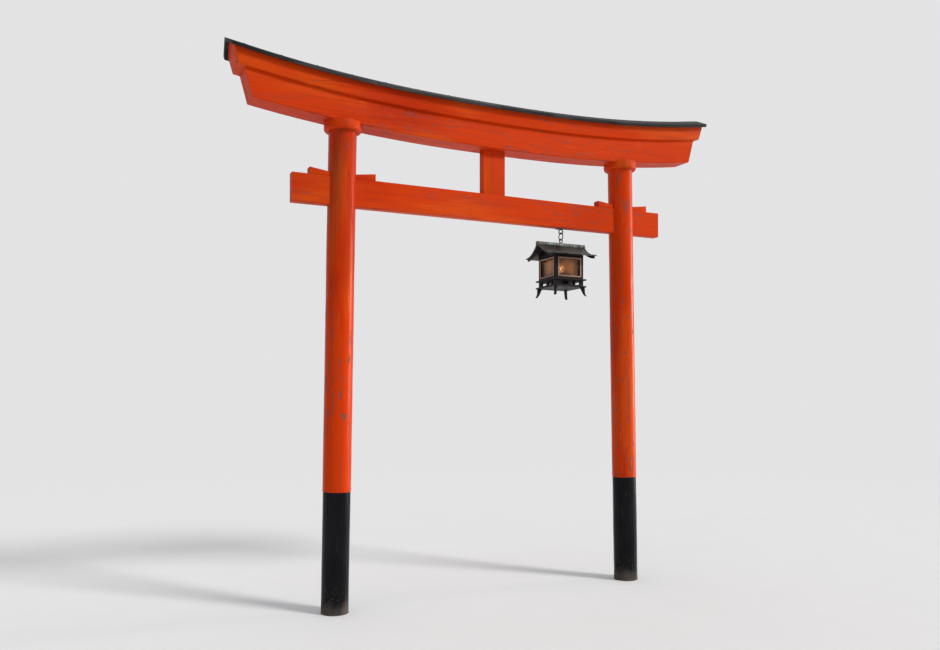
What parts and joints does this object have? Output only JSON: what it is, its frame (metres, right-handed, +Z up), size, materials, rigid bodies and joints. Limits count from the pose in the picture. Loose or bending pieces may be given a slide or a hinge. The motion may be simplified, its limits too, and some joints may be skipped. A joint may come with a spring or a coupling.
{
  "type": "torii gate",
  "caption": "Round-post timber shrine gate with a wedged tie beam, an upswept double lintel and a hanging lantern that swings from the beam.",
  "frame": {"origin": "middle of the left post's foot face, at ground level", "axes": "+X along the gate to the right post, +Y to the back, +Z up"},
  "size_m": [3.5784, 0.38, 3.4884],
  "materials": {
    "vermilion_timber": "glossy vermilion paint on timber, worn and streaked",
    "black_wrap": "satin black paint, dusty near the ground",
    "black_board": "weathered black paint",
    "dark_iron": "dark oiled iron with a little rust",
    "aged_copper": "dark aged copper with pale green edges",
    "dark_timber": "dark stained timber",
    "light_timber": "pale bare timber beading",
    "pane": "thin amber pane",
    "black_plastic": "matte black",
    "lamp_glass": "warm frosted lamp glass"
  },
  "bodies": {
    "gate": {"left_post": "vermilion_timber", "right_post": "vermilion_timber", "left_foot_wrap": "black_wrap", "right_foot_wrap": "black_wrap", "tie_beam": "vermilion_timber", "left_outer_wedge": "vermilion_timber", "left_inner_wedge": "vermilion_timber", "right_inner_wedge": "vermilion_timber", "right_outer_wedge": "vermilion_timber", "centre_strut": "vermilion_timber", "left_cap_ring": "vermilion_timber", "right_cap_ring": "vermilion_timber", "lower_lintel": "vermilion_timber", "upper_lintel": "vermilion_timber", "front_lintel_board": "black_board", "back_lintel_board": "black_board", "lantern_eye": "dark_iron"},
    "ring": {"hanging_ring": "dark_iron"},
    "lantern": {"lantern_loop": "dark_iron", "lantern_ridge": "aged_copper", "lantern_roof": "aged_copper", "lantern_gable_boards": "dark_timber", "lantern_gable": "dark_timber", "lantern_body": "dark_timber", "window_beading": "light_timber", "front_pane": "pane", "right_pane": "pane", "back_pane": "pane", "left_pane": "pane", "lantern_base": "dark_timber", "lantern_feet": "dark_timber", "lamp_socket": "black_plastic", "lamp_bulb": "lamp_glass"}
  },
  "joints": [
    {"name": "ring_swing", "type": "hinge", "parent": "gate", "child": "ring", "pos_m": [1.66548, 0, 2.511], "axis": [1, 0, 0], "range_deg": [-20, 20]},
    {"name": "lantern_swing", "type": "hinge", "parent": "ring", "child": "lantern", "pos_m": [1.66548, 0, 2.4668], "axis": [0, 1, 0], "range_deg": [-20, 20]}
  ]
}
